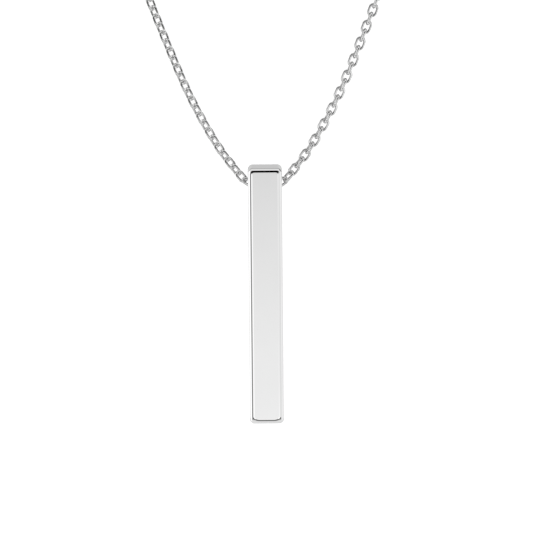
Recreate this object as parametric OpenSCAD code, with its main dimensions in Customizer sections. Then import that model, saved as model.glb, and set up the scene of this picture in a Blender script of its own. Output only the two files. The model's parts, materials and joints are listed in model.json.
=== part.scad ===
/* [Bar] */
// Height of the bar
bar_h = 38; // [30:0.5:50]
// Width and depth of the bar's square section
bar_w = 5; // [5:0.1:6]
// Radius of the bar's rounded edges and corners
bar_edge_r = 0.7; // [0.4:0.05:0.7]

/* [Cross bore] */
// Diameter of the bore that the chain runs through
bore_d = 2.5; // [2.4:0.02:2.5]
// Distance from the bar's top face down to the bore's centre line
bore_drop = 2.8; // [2.6:0.1:6]
// Rounding of the two mouths of the bore
mouth_r = 0.5; // [0.4:0.05:0.5]
// Height of the chain's centre line over the bore's, where the chain comes to a mouth
chain_rise = 0.15; // [0.1:0.01:0.15]

/* [Chain] */
// Diameter of a link's wire
wire_d = 0.38; // [0.3:0.02:0.38]
// Width of a link over its wire
link_w = 1.54; // [1.5:0.02:1.56]
// Length of chain that each link adds
link_pitch = 1.3; // [1.28:0.01:1.32]
// Free play between two hooked links
link_play = 0.18; // [0.16:0.01:0.2]
// Separate links on each side of the bar's middle link
links_each_side = 60; // [30:1:100]

/* [Clasp] */
// Length of the clasp's barrel
barrel_l = 7.6; // [7.4:0.1:8]
// Diameter of the clasp's barrel
barrel_d = 2.2; // [1.8:0.1:2.6]
// Rounding of the barrel's two ends
barrel_end_r = 0.5; // [0.3:0.1:0.8]
// Mean diameter of the eye at each end of the clasp
eye_d = 1.24; // [1.2:0.02:1.3]
// Diameter of an eye's wire
eye_wire_d = 0.4; // [0.3:0.05:0.4]

/* [Hidden] */
$fn = 48;
eps = 0.01;

// The chain's route on the wearer's left, from the middle of the bore over the chest and
// round the side of the neck to the nape, which is the origin. The other side mirrors it.
route = [
    [0, -118, -112.7],
    [1, -118, -112.64],
    [2, -118, -112.4],
    [3.15, -118, -111.62],
    [4.3, -117.85, -110.2],
    [6.1, -117.6, -107.9],
    [7.45, -117.4, -105.8],
    [8.72, -117.2, -103.6],
    [10, -117, -101.2],
    [11.15, -116.7, -98.85],
    [12.28, -116.4, -96.3],
    [13.28, -116, -93.9],
    [16.65, -114.5, -85.5],
    [22, -111, -70],
    [29, -103, -52],
    [38, -87, -31],
    [44.5, -65, -15],
    [48.5, -45, -6],
    [44, -23, -1.5],
    [29, -7, 0],
    [14, -1, 0],
    [5, 0, 0],
    [0, 0, 0]
];
// How far the links turn about the chain, in degrees, against the number of the link
link_turn = [[-160, 0], [-100, 45], [-1, 45], [3, 28], [5, 16], [14, 12], [30, 0]];
// Up to this distance from the middle plane an unturned link faces straight to the front
front_half_w = 17;
// Depth of the neck's middle, round which the unturned links face outwards
neck_mid_y = -60;
// Steps of the smooth curve between two points of the route
curve_steps = 12;
// The tube's sides, its rings on each side of the neck, its gap to its neighbours, and how far
// it stands out past the links that it holds
tube_sides = 8;
tube_rings = 40;
tube_gap = 0.12;
tube_margin = 0.05;
// How far the wire of a clasp's eye is let into the end of the barrel
eye_sink = 0.12;

// The chain's point at the start of a mouth sets the bore
bore_y = route[2].y;
bore_z = route[2].z - chain_rise;
bar_top = bore_z + bore_drop;
bar_bottom = bar_top - bar_h;

// Half the middle-line width of a link, half its middle-line length, and its straight half
link_half_w = (link_w - wire_d) / 2;
link_half_l = (link_pitch + link_play + wire_d) / 2;
link_straight = link_half_l - link_half_w;

function unit(v) = v / norm(v);

// Distance from each point of the route to the next one
spans = [for (i = [0:len(route) - 2]) norm(route[i + 1] - route[i])];

// Direction of the curve at each point of the route
function tangent(i) =
    i == 0 ? unit(route[1] - route[0]) :
    i == len(route) - 1 ? unit(route[i] - route[i - 1]) :
    let (
        before = (route[i] - route[i - 1]) / spans[i - 1],
        after = (route[i + 1] - route[i]) / spans[i]
    )
    (before * spans[i] + after * spans[i - 1]) / (spans[i - 1] + spans[i]);

// A point of the curve between two points of the route, for t from 0 to 1
function between(i, t) =
    (2 * pow(t, 3) - 3 * pow(t, 2) + 1) * route[i]
    + (pow(t, 3) - 2 * pow(t, 2) + t) * spans[i] * tangent(i)
    + (3 * pow(t, 2) - 2 * pow(t, 3)) * route[i + 1]
    + (pow(t, 3) - pow(t, 2)) * spans[i] * tangent(i + 1);

curve = [
    for (i = [0:len(spans) - 1], j = [0:curve_steps - 1]) between(i, j / curve_steps),
    route[len(route) - 1]
];

// Length of the curve's steps, and along the curve up to each of its points
steps = [for (i = [1:len(curve) - 1]) norm(curve[i] - curve[i - 1])];
curve_s = [for (i = 0, s = 0; i <= len(steps); s = s + (i < len(steps) ? steps[i] : 0), i = i + 1) s];
half_length = curve_s[len(curve_s) - 1];
curve_x = [for (i = [0:len(curve) - 1]) [curve_s[i], curve[i].x]];
curve_y = [for (i = [0:len(curve) - 1]) [curve_s[i], curve[i].y]];
curve_z = [for (i = [0:len(curve) - 1]) [curve_s[i], curve[i].z]];

// The point of the chain at a length s from the bar's middle, negative on the other side
function chain_point(s) = [
    sign(s) * lookup(abs(s), curve_x),
    lookup(abs(s), curve_y),
    lookup(abs(s), curve_z)
];

// The side that an unturned link shows at a point of the chain
function facing(p) = unit([
    sign(p.x) * max(0, abs(p.x) - front_half_w),
    p.y - neck_mid_y,
    0
]);

// The matrix that sets a link, drawn along X and flat to Z, in its place on the chain
function link_place(k) =
    let (
        start = chain_point((k - 0.5) * link_pitch),
        end = chain_point((k + 0.5) * link_pitch),
        mid = (start + end) / 2,
        along = unit(end - start),
        flat = unit(facing(mid) - along * (along * facing(mid))),
        turn = lookup(k, link_turn) + 90 * (abs(k) % 2),
        face = flat * cos(turn) + cross(along, flat) * sin(turn),
        side = cross(face, along)
    )
    [
        [along.x, side.x, face.x, mid.x],
        [along.y, side.y, face.y, mid.y],
        [along.z, side.z, face.z, mid.z],
        [0, 0, 0, 1]
    ];

// The tube's ring of points at a length s along the chain
function ring(s, radius) =
    let (
        along = unit(chain_point(s + eps) - chain_point(s - eps)),
        side = unit(cross(along, facing(chain_point(s)))),
        up = cross(side, along)
    )
    [
        for (a = [0:tube_sides - 1])
            chain_point(s) + radius * (side * cos(a * 360 / tube_sides) + up * sin(a * 360 / tube_sides))
    ];

// The tube runs from the last separate link to the clasp's eye
tube_start = (links_each_side + 0.5) * link_pitch + (link_play + wire_d) / 2 + wire_d / 2 + tube_gap;
eye_x = barrel_l / 2 + eye_d / 2 - eye_sink;
tube_end = half_length - eye_x - eye_d / 2 - eye_wire_d / 2 - tube_gap;

module rounded_square(side, r) {
    square([side - 2 * r, side], center = true);
    square([side, side - 2 * r], center = true);
    for (x = [-1, 1], y = [-1, 1])
        translate([x * (side / 2 - r), y * (side / 2 - r)])
            circle(r = r);
}

// The rounded rim of one end of the bar
module end_rim() {
    reach = bar_w / 2 - bar_edge_r;
    for (turn = [0:90:270])
        rotate([0, 0, turn]) {
            translate([reach, -reach, 0])
                rotate([-90, 0, 0])
                    cylinder(r = bar_edge_r, h = 2 * reach);
            translate([reach, reach, 0])
                sphere(r = bar_edge_r);
        }
}

module bar_block() {
    translate([0, 0, bar_bottom + bar_edge_r])
        linear_extrude(bar_h - 2 * bar_edge_r)
            rounded_square(bar_w, bar_edge_r);
    translate([0, 0, bar_bottom])
        linear_extrude(bar_h)
            square(bar_w - 2 * bar_edge_r, center = true);
    for (z = [bar_bottom + bar_edge_r, bar_top - bar_edge_r])
        translate([0, 0, z])
            end_rim();
}

// The flare at one end of the bore
module bore_mouth() {
    translate([0, 0, bar_w / 2 - mouth_r])
        rotate_extrude()
            difference() {
                square([bore_d / 2 + mouth_r, mouth_r + eps]);
                translate([bore_d / 2 + mouth_r, 0])
                    circle(r = mouth_r);
            }
}

module bar() {
    color("gainsboro")
    translate([0, bore_y, 0])
        difference() {
            bar_block();
            translate([0, 0, bore_z]) {
                rotate([0, 90, 0])
                    cylinder(d = bore_d, h = 2 * bar_w, center = true);
                rotate([0, 90, 0])
                    bore_mouth();
                rotate([0, -90, 0])
                    bore_mouth();
            }
        }
}

// One oval link of round wire, along X and flat to Z
module link() {
    for (turn = [0, 180])
        rotate([0, 0, turn]) {
            translate([link_straight, 0, 0])
                rotate([0, 0, -90])
                    rotate_extrude(angle = 180)
                        translate([link_half_w, 0])
                            circle(d = wire_d);
            translate([0, link_half_w, 0])
                rotate([0, 90, 0])
                    cylinder(d = wire_d, h = 2 * link_straight, center = true);
        }
}

module chain_front() {
    color("silver")
    for (k = [-links_each_side:links_each_side])
        multmatrix(link_place(k))
            link();
}

module chain_tube() {
    step = (tube_end - tube_start) / (tube_rings - 1);
    points = [for (i = [0:tube_rings - 1]) each ring(tube_start + i * step, link_w / 2 + tube_margin)];
    sides = [
        for (i = [0:tube_rings - 2], a = [0:tube_sides - 1])
            let (b = (a + 1) % tube_sides, n = i * tube_sides)
            [n + a, n + b, n + tube_sides + b, n + tube_sides + a]
    ];
    near_end = [for (a = [tube_sides - 1:-1:0]) a];
    far_end = [for (a = [0:tube_sides - 1]) (tube_rings - 1) * tube_sides + a];
    polyhedron(points, concat(sides, [near_end, far_end]));
}

module chain_back() {
    color("silver") {
        chain_tube();
        mirror([1, 0, 0])
            chain_tube();
    }
}

// Half the lengthwise section of the clasp's barrel
module barrel_section() {
    core_r = barrel_d / 2 - barrel_end_r;
    translate([0, -barrel_l / 2])
        square([core_r, barrel_l]);
    translate([0, barrel_end_r - barrel_l / 2])
        square([barrel_d / 2, barrel_l - 2 * barrel_end_r]);
    for (y = [-1, 1])
        translate([core_r, y * (barrel_l / 2 - barrel_end_r)])
            circle(r = barrel_end_r);
}

module clasp() {
    color("silver") {
        rotate([0, 90, 0])
            rotate_extrude()
                intersection() {
                    barrel_section();
                    translate([0, -barrel_l])
                        square([barrel_d, 2 * barrel_l]);
                }
        for (x = [-1, 1])
            translate([x * eye_x, 0, 0])
                rotate([90, 0, 0])
                    rotate_extrude()
                        translate([eye_d / 2, 0])
                            circle(d = eye_wire_d);
    }
}

bar();
chain_front();
chain_back();
clasp();
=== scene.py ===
"""Looks of a bar pendant on a cable chain: polished bar, linked chain, clasp, studio and camera."""

import json
import math
from itertools import pairwise, product

import bpy
import numpy as np
from mathutils import Matrix, Vector


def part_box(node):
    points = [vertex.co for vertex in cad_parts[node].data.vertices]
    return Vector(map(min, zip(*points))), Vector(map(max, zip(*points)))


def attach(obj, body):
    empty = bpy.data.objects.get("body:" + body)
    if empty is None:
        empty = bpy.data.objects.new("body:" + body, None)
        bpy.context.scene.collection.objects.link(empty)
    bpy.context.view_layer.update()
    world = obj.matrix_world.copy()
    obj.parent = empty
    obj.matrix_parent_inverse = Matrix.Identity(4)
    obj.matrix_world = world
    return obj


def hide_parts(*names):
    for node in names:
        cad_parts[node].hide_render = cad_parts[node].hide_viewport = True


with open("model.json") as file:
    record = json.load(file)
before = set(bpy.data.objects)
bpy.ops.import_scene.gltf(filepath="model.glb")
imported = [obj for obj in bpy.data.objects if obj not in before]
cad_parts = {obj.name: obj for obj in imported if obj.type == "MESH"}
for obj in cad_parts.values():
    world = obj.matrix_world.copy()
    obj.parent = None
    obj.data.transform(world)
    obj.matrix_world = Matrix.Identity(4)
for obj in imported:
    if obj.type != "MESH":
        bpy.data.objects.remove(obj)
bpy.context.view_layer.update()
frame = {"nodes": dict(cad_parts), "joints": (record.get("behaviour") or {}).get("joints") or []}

MM = 0.001

# The photograph: its side and the middle of the bar in pixels, and its scale
PHOTO_SIDE = 533
BAR_MIDDLE_X = 265.9
BAR_MIDDLE_Y = 294.2
MM_PER_PIXEL = 0.1468

# The camera, in degrees and metres, with its sensor in millimetres
CAMERA_ELEVATION = 10.0
CAMERA_ROLL = -0.5
CAMERA_DISTANCE = 0.6
CAMERA_CLIP = (0.01, 20)
SENSOR_WIDTH = 36.0

# The bar's place and size, and the middle of its bore, which its hinge goes through
BAR_LOW, BAR_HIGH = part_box("bar")
BAR_MID = (BAR_LOW + BAR_HIGH) / 2
BAR_HALF = (BAR_HIGH - BAR_LOW) / 2
BORE_MIDDLE = Vector(frame["joints"][0]["pos_m"])

# Radii of the bar's edges, of its bore and of the rounding at the bore's mouths
BAR_EDGE_R = 0.7 * MM
BORE_R = 1.25 * MM
MOUTH_R = 0.5 * MM

# How far polishing has softened the corners of the bar's flats at its lower and upper end,
# along each axis
LOW_SOFT = Vector((0.9, 0.9, 0.38)) * MM
HIGH_SOFT = Vector((0.25, 0.25, 0.25)) * MM

# Steps in the bar's mesh: across half of an edge's rounding, across a flat and the block round the
# bore, along the bar below that block, along each end of the flats, and round a mouth's rounding
FILLET_STEPS = 8
BLOCK_STEPS = 24
LONG_STEPS = 10
SOFT_STEPS = 5
MOUTH_STEPS = 10
# Corners on the same point of a grid this fine are one vertex
CORNER_GRID = 0.001 * MM

# The chain's links. Their pitch is that of the part's source, and they are slightly bolder and hang
# closer together, as the photograph shows them
WIRE_D = 0.4 * MM
LINK_W = 1.56 * MM
LINK_PITCH = 1.3 * MM
LINK_PLAY = 0.04 * MM
# Half a link's width and half its straight length, along the middle of its wire
LINK_HALF_W = (LINK_W - WIRE_D) / 2
LINK_STRAIGHT = (LINK_PITCH + LINK_PLAY + WIRE_D) / 2 - LINK_HALF_W

# Numbers of the last link in front and of the last one of all, counted from the middle link, 0
LAST_FRONT_LINK = 60
LAST_LINK = 169
# Steps round a link and round its wire
FRONT_LINK_STEPS = (36, 16)
BACK_LINK_STEPS = (28, 12)
# How far the links turn about the chain, in degrees, against the number of the link
TURN_LINKS = [-160, -100, -1, 3, 5, 14, 30]
TURN_DEGREES = [0, 45, 45, 28, 16, 12, 0]
# The links face forwards this far to each side, and further out they face away from the neck,
# whose middle lies at this depth
FRONT_HALF_W = 17 * MM
NECK_MID_Y = -60 * MM

# The chain's route on the wearer's left, from the middle of the bore to the nape
ROUTE = MM * np.array([
    (0, -118, -112.7),
    (1, -118, -112.64),
    (2, -118, -112.4),
    (3.15, -118, -111.62),
    (4.3, -117.85, -110.2),
    (6.1, -117.6, -107.9),
    (7.45, -117.4, -105.8),
    (8.72, -117.2, -103.6),
    (10, -117, -101.2),
    (11.15, -116.7, -98.85),
    (12.28, -116.4, -96.3),
    (13.28, -116, -93.9),
    (16.65, -114.5, -85.5),
    (22, -111, -70),
    (29, -103, -52),
    (38, -87, -31),
    (44.5, -65, -15),
    (48.5, -45, -6),
    (44, -23, -1.5),
    (29, -7, 0),
    (14, -1, 0),
    (5, 0, 0),
    (0, 0, 0),
])
# Steps along the curve between two points of the route
CURVE_STEPS = 12

# How the metals vary: the levels of noise that the change runs between, and how far their roughness
# and their grey go, as shares of what is given
SCRATCH_NOISE = (0.35, 0.7)
BLOTCH_NOISE = (0.3, 0.7)
ROUGHNESS_SHARES = (0.6, 1.5)
GREY_SHARES = (0.985, 1.0)
# Blotches are this many times as wide as scratches
BLOTCH_WIDTH = 12
SCRATCH_HEIGHT = 0.02 * MM

# The surroundings are set out round the direction that the middle of the bar's front mirrors.
# Light at each height, in degrees, within the small patch that the flat front mirrors
FLAT_LIGHT = [
    (-20, 1.05), (-13, 1.0), (-12, 0.933), (-11, 0.915), (-10.5, 0.888), (-9.9, 0.853),
    (-9.5, 0.837), (-9.0, 0.803), (-8.7, 0.755), (0, 0.72),
]
# Light at each angle from that direction, in degrees, going up, down, left and right from it
UP_LIGHT = [
    (0, 0.75), (20, 0.72), (23, 0.62), (26, 0.0), (71, 0.0), (77, 0.85), (114, 0.85), (121, 0.66),
    (130, 0.42), (160, 0.52), (172, 0.58), (180, 0.6),
]
DOWN_LIGHT = [
    (0, 0.9), (3, 1.0), (6, 1.0), (12, 0.1), (32, 0.1), (39, 0.74), (70, 0.82), (100, 0.8),
    (130, 0.7), (160, 0.6), (172, 0.58), (180, 0.6),
]
LEFT_LIGHT = [
    (0, 0.85), (2, 0.95), (4, 1.1), (30, 1.1), (39, 0.2), (60, 0.2), (69, 1.25), (100, 1.2),
    (125, 0.95), (155, 0.8), (172, 0.65), (180, 0.6),
]
RIGHT_LIGHT = [
    (0, 0.85), (6, 0.9), (20, 0.9), (35, 0.84), (50, 0.8), (68, 0.86), (76, 0.98), (94, 0.98),
    (103, 0.76), (112, 0.76), (125, 0.88), (140, 1.0), (160, 0.9), (172, 0.65), (180, 0.6),
]
# Light at the smaller angles from that direction, going slantwise down to either side
LOW_LIGHT = [(0, 0.9), (3, 1.2), (17, 1.25), (23, 0.1), (40, 0.1), (50, 0.6)]
# Where one light passes smoothly into the next, in degrees away from that direction, and round
# it, with 0 straight up and 180 straight down on either side
FLAT_TO_RING_AWAY = (2.2, 4)
UP_TO_SIDE_ROUND = (40, 75)
SIDE_TO_DOWN_ROUND = (120, 155)
# Where the slantwise light starts, is full, starts to fade and ends
LOW_ROUND = (97, 112, 150, 165)
LOW_AWAY = (-2, -1, 44, 56)
# The same for a dark patch behind the bar, high on the right
DARK_ROUND = (38, 46, 66, 80)
DARK_AWAY = (92, 102, 140, 160)
DARK_LEVEL = 0.15

WHITE = (1.0, 1.0, 1.0, 1.0)

# The floor: half its side and how far below the bar it lies, in metres, and its looks
FLOOR_HALF = 6.0
FLOOR_DROP = 0.08
FLOOR_GREY = 0.9
FLOOR_ROUGHNESS = 0.9
FLOOR_GLOW = 0.6

# Sockets of the two colours that a mix node takes, and of the one that it gives
MIX_FIRST = 6
MIX_SECOND = 7
MIX_RESULT = 2


def make_camera():
    """The photograph's view: level with the bar's middle, a little from above, slightly rolled."""
    elevation = math.radians(CAMERA_ELEVATION)
    back = Vector((0, -math.cos(elevation), math.sin(elevation)))
    turn = (-back).to_track_quat("-Z", "Y")
    roll = Matrix.Rotation(math.radians(CAMERA_ROLL), 3, "Z")
    axes = turn.to_matrix() @ roll
    right, up = axes.col[0], axes.col[1]
    pixel = MM_PER_PIXEL * MM
    aim = (
        BAR_MID
        + right * (PHOTO_SIDE / 2 - BAR_MIDDLE_X) * pixel
        + up * (BAR_MIDDLE_Y - PHOTO_SIDE / 2) * pixel
    )
    data = bpy.data.cameras.new("camera")
    data.sensor_width = SENSOR_WIDTH
    data.lens = SENSOR_WIDTH * CAMERA_DISTANCE / (PHOTO_SIDE * pixel)
    data.clip_start, data.clip_end = CAMERA_CLIP
    camera = bpy.data.objects.new("camera", data)
    bpy.context.scene.collection.objects.link(camera)
    camera.rotation_mode = "QUATERNION"
    camera.rotation_quaternion = axes.to_quaternion()
    camera.location = aim + back * CAMERA_DISTANCE
    bpy.context.scene.camera = camera


def add_object(name, vertices, faces, normals=None):
    """A smooth mesh object, with its own normals where they are given."""
    mesh = bpy.data.meshes.new(name)
    mesh.from_pydata([tuple(v) for v in vertices], [], faces)
    mesh.shade_smooth()
    if normals is not None:
        mesh.normals_split_custom_set_from_vertices([tuple(n) for n in normals])
    thing = bpy.data.objects.new(name, mesh)
    bpy.context.scene.collection.objects.link(thing)
    return thing


class Weld:
    """Collects faces by the places of their corners, and gives each place one vertex."""

    def __init__(self):
        self.index = {}
        self.vertices = []
        self.normals = []
        self.faces = []

    def corner(self, place, normal):
        """The number of the vertex at a place, which is new or already there."""
        key = tuple(round(c / CORNER_GRID) for c in place)
        if key not in self.index:
            self.index[key] = len(self.vertices)
            self.vertices.append(tuple(place))
            self.normals.append(tuple(normal))
        return self.index[key]

    def face(self, corners):
        """A face of (place, normal) corners, wound to face along its normals."""
        points = [Vector(p) for p, _ in corners]
        outwards = sum((Vector(n) for _, n in corners), Vector())
        across = (points[2] - points[0]).cross(points[-1] - points[1])
        if across.dot(outwards) < 0:
            corners = corners[::-1]
        ids = []
        for place, normal in corners:
            i = self.corner(place, normal)
            if i not in ids:
                ids.append(i)
        if len(ids) > 2:
            self.faces.append(ids)


def rim_lines(half):
    """Lines across the rounded rim on one side of a face, from the flat outwards."""
    inner = half - BAR_EDGE_R
    angles = [math.radians(45 * i / FILLET_STEPS) for i in range(1, FILLET_STEPS + 1)]
    return [inner + BAR_EDGE_R * math.tan(a) for a in angles]


def face_lines(half, flat):
    """All lines across a face: the rim, the flat's own lines, and the other rim."""
    rim = rim_lines(half)
    return [-x for x in rim[::-1]] + list(flat) + rim


def rounded(place, axis):
    """Moves a place on one side of the bar's sharp box to its rounded surface, and gives the
    normal there, softened at the corners of the side's flat."""
    inner = Vector(
        max(-(h - BAR_EDGE_R), min(h - BAR_EDGE_R, c)) for c, h in zip(place, BAR_HALF)
    )
    normal = (Vector(place) - inner).normalized()
    surface = inner + normal * BAR_EDGE_R
    soft = HIGH_SOFT if place[2] > 0 else LOW_SOFT
    u, v = (axis + 1) % 3, (axis + 2) % 3
    past = [abs(place[i]) - BAR_HALF[i] + BAR_EDGE_R for i in (u, v)]
    # The place in the corner, with an ellipse of the softened size as the unit circle. Past that
    # circle the normal leans outwards, and towards the outer rim it comes back to the true one
    reach_u, reach_v = (max(0.0, p / soft[i] + 1) for p, i in zip(past, (u, v)))
    distance = math.hypot(reach_u, reach_v)
    if min(reach_u, reach_v) > 0 and distance > 1:
        rise = Vector((reach_u / soft[u], reach_v / soft[v])) / distance
        lean = rise * (distance - 1) / rise.length_squared
        softened = Vector((0.0, 0.0, 0.0))
        softened[axis] = math.copysign(BAR_EDGE_R, place[axis])
        softened[u] = math.copysign(lean.x, place[u])
        softened[v] = math.copysign(lean.y, place[v])
        outwards = max(0.0, *past) / BAR_EDGE_R
        normal = normal.lerp(softened.normalized(), 1 - outwards**2).normalized()
    return surface, normal


def make_bar():
    """The rounded bar with its cross bore, as one closed mesh."""
    weld = Weld()
    flat_half = BAR_HALF.y - BAR_EDGE_R
    bore_z = BORE_MIDDLE.z - BAR_MID.z
    across = np.linspace(-flat_half, flat_half, BLOCK_STEPS + 1)
    lower_end = -(BAR_HALF.z - BAR_EDGE_R)
    block_low = bore_z - flat_half
    soft_end = lower_end + LOW_SOFT.z
    lower = list(np.linspace(lower_end, soft_end, SOFT_STEPS + 1)[:-1])
    lower += list(np.linspace(soft_end, block_low, LONG_STEPS + 1)[:-1])
    block = np.linspace(block_low, bore_z + flat_half, BLOCK_STEPS + 1)
    upper = np.linspace(block[-1], BAR_HALF.z - BAR_EDGE_R, SOFT_STEPS + 1)[1:]
    lines = [
        face_lines(BAR_HALF.x, across),
        face_lines(BAR_HALF.y, across),
        face_lines(BAR_HALF.z, lower + list(block) + list(upper)),
    ]

    def in_block(y, z):
        return abs(y) < flat_half and abs(z - bore_z) < flat_half

    for axis, side in product(range(3), (-1, 1)):
        u, v = (axis + 1) % 3, (axis + 2) % 3
        for (u0, u1), (v0, v1) in product(pairwise(lines[u]), pairwise(lines[v])):
            if axis == 0 and in_block((u0 + u1) / 2, (v0 + v1) / 2):
                continue
            corners = []
            for a, b in ((u0, v0), (u1, v0), (u1, v1), (u0, v1)):
                place = [0.0, 0.0, 0.0]
                place[axis], place[u], place[v] = side * BAR_HALF[axis], a, b
                corners.append(rounded(place, axis))
            weld.face(corners)
    add_bore(weld, across, block - bore_z, bore_z)
    bar = add_object("bar_polished", weld.vertices, weld.faces, weld.normals)
    bar.data.transform(Matrix.Translation(BAR_MID))
    return bar


def add_bore(weld, ys, zs, bore_z):
    """The flat round each mouth of the bore, the rounded mouths and the bore's wall."""
    around = (
        [(y, zs[0]) for y in ys[:-1]]
        + [(ys[-1], z) for z in zs[:-1]]
        + [(y, zs[-1]) for y in ys[:0:-1]]
        + [(ys[0], z) for z in zs[:0:-1]]
    )
    spokes = [Vector((y, z)).normalized() for y, z in around]
    mouth_outer = BORE_R + MOUTH_R

    def ring(side, turn):
        """Corners round one mouth, at an angle from its outer rim, 0, to the bore's wall, 90."""
        angle = math.radians(turn)
        radius = mouth_outer - MOUTH_R * math.sin(angle)
        x = side * (BAR_HALF.x - MOUTH_R * (1 - math.cos(angle)))
        return [
            (
                Vector((x, s.x * radius, bore_z + s.y * radius)),
                Vector((side * math.cos(angle), -s.x * math.sin(angle), -s.y * math.sin(angle))),
            )
            for s in spokes
        ]

    def bridge(first, second):
        """The faces between two rings of corners."""
        for i in range(len(first)):
            j = (i + 1) % len(first)
            weld.face([first[i], first[j], second[j], second[i]])

    walls = []
    for side in (-1, 1):
        flat = Vector((side, 0, 0))
        square = [(Vector((side * BAR_HALF.x, y, bore_z + z)), flat) for y, z in around]
        rings = [ring(side, 90 * i / MOUTH_STEPS) for i in range(MOUTH_STEPS + 1)]
        for first, second in zip([square] + rings, rings):
            bridge(first, second)
        walls.append(rings[-1])
    bridge(walls[0], walls[1])


def curve_points():
    """The chain as a smooth curve through its route, with its length up to each point."""
    spans = np.linalg.norm(np.diff(ROUTE, axis=0), axis=1)
    steps = np.diff(ROUTE, axis=0) / spans[:, None]
    tangents = [steps[0]]
    for i in range(1, len(spans)):
        weighted = steps[i - 1] * spans[i] + steps[i] * spans[i - 1]
        tangents.append(weighted / (spans[i - 1] + spans[i]))
    tangents.append(steps[-1])
    points = []
    for i, span in enumerate(spans):
        for j in range(CURVE_STEPS):
            t = j / CURVE_STEPS
            points.append(
                (2 * t**3 - 3 * t**2 + 1) * ROUTE[i]
                + (t**3 - 2 * t**2 + t) * span * tangents[i]
                + (3 * t**2 - 2 * t**3) * ROUTE[i + 1]
                + (t**3 - t**2) * span * tangents[i + 1]
            )
    points.append(ROUTE[-1])
    points = np.array(points)
    lengths = np.linalg.norm(np.diff(points, axis=0), axis=1)
    return points, np.concatenate([[0.0], np.cumsum(lengths)])


CURVE, CURVE_S = curve_points()


def chain_point(s):
    """The point of the chain at a length s from the bar's middle, negative on the other side."""
    point = Vector(np.interp(abs(s), CURVE_S, CURVE[:, i]) for i in range(3))
    if s < 0:
        point.x = -point.x
    return point


def link_place(k):
    """The matrix that sets link number k, drawn along X and flat to Z, on the chain."""
    start = chain_point((k - 0.5) * LINK_PITCH)
    end = chain_point((k + 0.5) * LINK_PITCH)
    middle = (start + end) / 2
    along = (end - start).normalized()
    sideways = math.copysign(max(0.0, abs(middle.x) - FRONT_HALF_W), middle.x)
    facing = Vector((sideways, middle.y - NECK_MID_Y, 0)).normalized()
    flat = (facing - along * along.dot(facing)).normalized()
    turn = math.radians(np.interp(k, TURN_LINKS, TURN_DEGREES) + 90 * (k % 2))
    face = flat * math.cos(turn) + along.cross(flat) * math.sin(turn)
    side = face.cross(along)
    place = Matrix((along, side, face)).transposed().to_4x4()
    place.translation = middle
    return place


def link_mesh(around, sides):
    """One oval link of round wire, with steps around it and sides round its wire: its points,
    their normals and its faces."""
    angles = [2 * math.pi * i / around for i in range(around)]
    points, normals = [], []
    for a in angles:
        shift = math.copysign(LINK_STRAIGHT, math.cos(a))
        for j in range(sides):
            b = 2 * math.pi * j / sides
            normal = Vector((math.cos(a) * math.cos(b), math.sin(a) * math.cos(b), math.sin(b)))
            middle = Vector((shift + LINK_HALF_W * math.cos(a), LINK_HALF_W * math.sin(a), 0))
            points.append(middle + normal * WIRE_D / 2)
            normals.append(normal)
    faces = []
    for i in range(around):
        for j in range(sides):
            i2, j2 = (i + 1) % around, (j + 1) % sides
            faces.append((i * sides + j, i2 * sides + j, i2 * sides + j2, i * sides + j2))
    return points, normals, faces


def make_links(name, numbers, link_steps):
    """A stretch of the chain: one mesh of hooked links."""
    points, normals, faces = link_mesh(*link_steps)
    all_points, all_normals, all_faces = [], [], []
    for k in numbers:
        place = link_place(k)
        turn = place.to_3x3()
        first = len(all_points)
        all_points += [place @ p for p in points]
        all_normals += [turn @ n for n in normals]
        all_faces += [tuple(first + i for i in face) for face in faces]
    return add_object(name, all_points, all_faces, all_normals)


class Nodes:
    """Adds shader nodes to a node tree, and links them."""

    def __init__(self, tree):
        self.tree = tree
        tree.nodes.clear()

    def add(self, kind, inputs=None, **settings):
        """A new node. An input that is another node's socket is linked, and any other is set."""
        node = self.tree.nodes.new(kind)
        for key, value in settings.items():
            setattr(node, key, value)
        for key, value in (inputs or {}).items():
            if isinstance(value, bpy.types.NodeSocket):
                self.tree.links.new(value, node.inputs[key])
            else:
                node.inputs[key].default_value = value
        return node

    def math(self, operation, a, b=0.0):
        return self.add("ShaderNodeMath", {0: a, 1: b}, operation=operation).outputs[0]

    def map_range(self, value, source, target=(0.0, 1.0), interpolation="LINEAR"):
        """Maps a value from one range onto another."""
        inputs = {
            "Value": value,
            "From Min": source[0],
            "From Max": source[1],
            "To Min": target[0],
            "To Max": target[1],
        }
        return self.add("ShaderNodeMapRange", inputs, interpolation_type=interpolation).outputs[0]

    def noise(self, place, scale, detail, roughness):
        inputs = {"Vector": place, "Scale": scale, "Detail": detail, "Roughness": roughness}
        return self.add("ShaderNodeTexNoise", inputs).outputs[0]

    def mix(self, factor, first, second):
        inputs = {"Factor": factor, MIX_FIRST: first, MIX_SECOND: second}
        return self.add("ShaderNodeMix", inputs, data_type="RGBA").outputs[MIX_RESULT]

    def ramp(self, value, stops):
        """Greys through (place, level) stops, going straight from each to the next."""
        node = self.add("ShaderNodeValToRGB", {"Fac": value})
        ramp = node.color_ramp
        ramp.interpolation = "LINEAR"
        while len(ramp.elements) < len(stops):
            ramp.elements.new(1.0)
        for element, (place, level) in zip(ramp.elements, stops):
            element.position = place
            element.color = (level, level, level, 1.0)
        return node.outputs["Color"]


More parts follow.
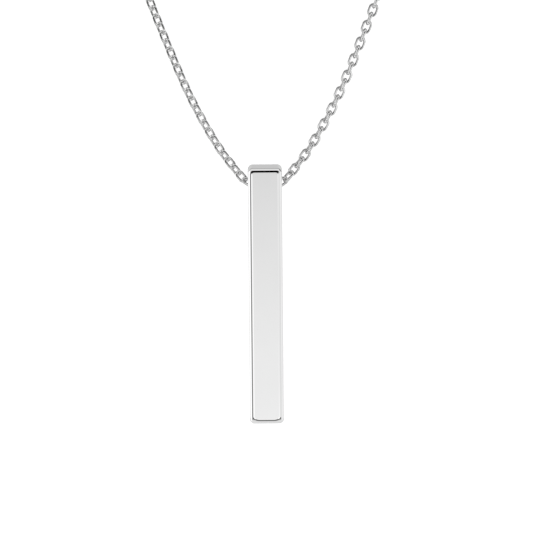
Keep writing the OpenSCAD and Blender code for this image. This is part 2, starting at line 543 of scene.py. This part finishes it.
def metal(name, grey, edge, roughness, scratch_scale, scratch_depth, stretch):
    """Polished metal: its grey, its grey where it is seen at a flat angle, its roughness, and fine
    random scratches, which are longer along an axis that is given a small stretch."""
    material = bpy.data.materials.new(name)
    material.use_nodes = True
    n = Nodes(material.node_tree)
    place = n.add("ShaderNodeTexCoord").outputs["Object"]
    drawn = n.add("ShaderNodeMapping", {"Vector": place, "Scale": stretch}).outputs[0]
    scratches = n.noise(drawn, scratch_scale, detail=6.0, roughness=0.6)
    blotches = n.noise(place, scratch_scale / BLOTCH_WIDTH, detail=2.0, roughness=0.5)
    gloss = n.map_range(scratches, SCRATCH_NOISE, [roughness * s for s in ROUGHNESS_SHARES])
    shade = n.map_range(blotches, BLOTCH_NOISE, [grey * s for s in GREY_SHARES])
    bump = n.add(
        "ShaderNodeBump",
        {"Height": scratches, "Strength": scratch_depth, "Distance": SCRATCH_HEIGHT},
    ).outputs[0]
    shader = n.add(
        "ShaderNodeBsdfPrincipled",
        {
            "Base Color": shade,
            "Metallic": 1.0,
            "Specular Tint": (edge, edge, edge, 1.0),
            "Roughness": gloss,
            "Normal": bump,
        },
    )
    n.add("ShaderNodeOutputMaterial", {"Surface": shader.outputs[0]})
    return material


def set_material(thing, material):
    thing.data.materials.clear()
    thing.data.materials.append(material)


def make_world():
    """Soft studio light by direction, with pure white behind the object."""
    world = bpy.data.worlds.new("studio")
    bpy.context.scene.world = world
    world.use_nodes = True
    n = Nodes(world.node_tree)
    direction = n.add("ShaderNodeTexCoord").outputs["Generated"]
    xyz = n.add("ShaderNodeSeparateXYZ", {0: direction}).outputs
    tilt = math.radians(CAMERA_ELEVATION)
    ahead = (0.0, -math.cos(tilt), -math.sin(tilt))
    above = (0.0, -math.sin(tilt), math.cos(tilt))

    def along(axis):
        return n.add(
            "ShaderNodeVectorMath", {0: direction, 1: axis}, operation="DOT_PRODUCT"
        ).outputs["Value"]

    # The height from -90 to 90 degrees runs from 0 to 1, and the angle away from the direction
    # ahead and the angle round it run from 0 to 1 for 0 to 180 degrees
    height = n.math("ADD", n.math("DIVIDE", n.math("ARCSINE", xyz[2]), math.pi), 0.5)
    away = n.math("DIVIDE", n.math("ARCCOSINE", along(ahead)), math.pi)
    sideways = n.math("ABSOLUTE", xyz[0])
    clock = n.math("DIVIDE", n.math("ARCTAN2", sideways, along(above)), math.pi)

    def by_angle(table):
        return n.ramp(away, [(a / 180, level) for a, level in table])

    def step(value, start, end):
        """Rises smoothly from 0 to 1 between two angles in degrees."""
        return n.map_range(value, (start / 180, end / 180), interpolation="SMOOTHSTEP")

    def within(value, start, full, fading, end):
        return n.math("MULTIPLY", step(value, start, full), step(value, end, fading))

    on_right = n.math("GREATER_THAN", xyz[0], 0.0)
    side = n.mix(on_right, by_angle(LEFT_LIGHT), by_angle(RIGHT_LIGHT))
    ring = n.mix(step(clock, *UP_TO_SIDE_ROUND), by_angle(UP_LIGHT), side)
    ring = n.mix(step(clock, *SIDE_TO_DOWN_ROUND), ring, by_angle(DOWN_LIGHT))
    low = n.math("MULTIPLY", within(clock, *LOW_ROUND), within(away, *LOW_AWAY))
    ring = n.mix(low, ring, by_angle(LOW_LIGHT))
    dark = n.math("MULTIPLY", within(clock, *DARK_ROUND), within(away, *DARK_AWAY))
    dark_on_right = n.math("MULTIPLY", dark, on_right)
    ring = n.mix(dark_on_right, ring, (DARK_LEVEL, DARK_LEVEL, DARK_LEVEL, 1.0))
    flat = n.ramp(height, [((h + 90) / 180, level) for h, level in FLAT_LIGHT])
    light = n.mix(step(away, *FLAT_TO_RING_AWAY), flat, ring)
    seen = n.add("ShaderNodeLightPath").outputs["Is Camera Ray"]
    shown = n.mix(seen, light, WHITE)
    background = n.add("ShaderNodeBackground", {"Color": shown, "Strength": 1.0})
    n.add("ShaderNodeOutputWorld", {"Surface": background.outputs[0]})


def make_floor():
    """A plain white floor below the hanging bar, which the metal doesn't mirror."""
    half = FLOOR_HALF
    height = BAR_LOW.z - FLOOR_DROP
    corners = [(x, y, height) for x, y in ((-half, -half), (half, -half), (half, half), (-half, half))]
    floor = add_object("floor", corners, [(0, 1, 2, 3)])
    material = bpy.data.materials.new("floor_white")
    material.use_nodes = True
    n = Nodes(material.node_tree)
    shader = n.add(
        "ShaderNodeBsdfPrincipled",
        {
            "Base Color": (FLOOR_GREY, FLOOR_GREY, FLOOR_GREY, 1.0),
            "Roughness": FLOOR_ROUGHNESS,
            "Emission Color": WHITE,
            "Emission Strength": FLOOR_GLOW,
        },
    )
    n.add("ShaderNodeOutputMaterial", {"Surface": shader.outputs[0]})
    set_material(floor, material)
    floor.visible_glossy = False
    floor.visible_diffuse = False


make_camera()

bar = make_bar()
bar_metal = metal(
    "bar_metal",
    grey=0.9,
    edge=1.0,
    roughness=0.03,
    scratch_scale=2500.0,
    scratch_depth=0.02,
    stretch=(1.0, 1.0, 0.15),
)
set_material(bar, bar_metal)
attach(bar, "bar")
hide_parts("bar")

link_metal = metal(
    "link_metal",
    grey=0.86,
    # The links' grey at a flat angle is set far below a polished metal's own: painted shade that
    # darkens the sides of the wires, where the links lie against each other
    edge=0.2,
    roughness=0.07,
    scratch_scale=4000.0,
    scratch_depth=0.03,
    stretch=(1.0, 1.0, 1.0),
)
front_numbers = range(-LAST_FRONT_LINK, LAST_FRONT_LINK + 1)
back_numbers = [k for k in range(-LAST_LINK, LAST_LINK + 1) if k not in front_numbers]
chain_front = make_links("chain_front_links", front_numbers, FRONT_LINK_STEPS)
chain_back = make_links("chain_back_links", back_numbers, BACK_LINK_STEPS)
for piece, node in ((chain_front, "chain_front"), (chain_back, "chain_back")):
    set_material(piece, link_metal)
    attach(piece, "necklace")
    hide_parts(node)

clasp_metal = metal(
    "clasp_polished",
    grey=0.88,
    edge=1.0,
    roughness=0.08,
    scratch_scale=2500.0,
    scratch_depth=0.04,
    stretch=(0.2, 1.0, 1.0),
)
set_material(frame["nodes"]["clasp"], clasp_metal)

make_world()
make_floor()
bpy.context.scene.view_settings.view_transform = "Standard"
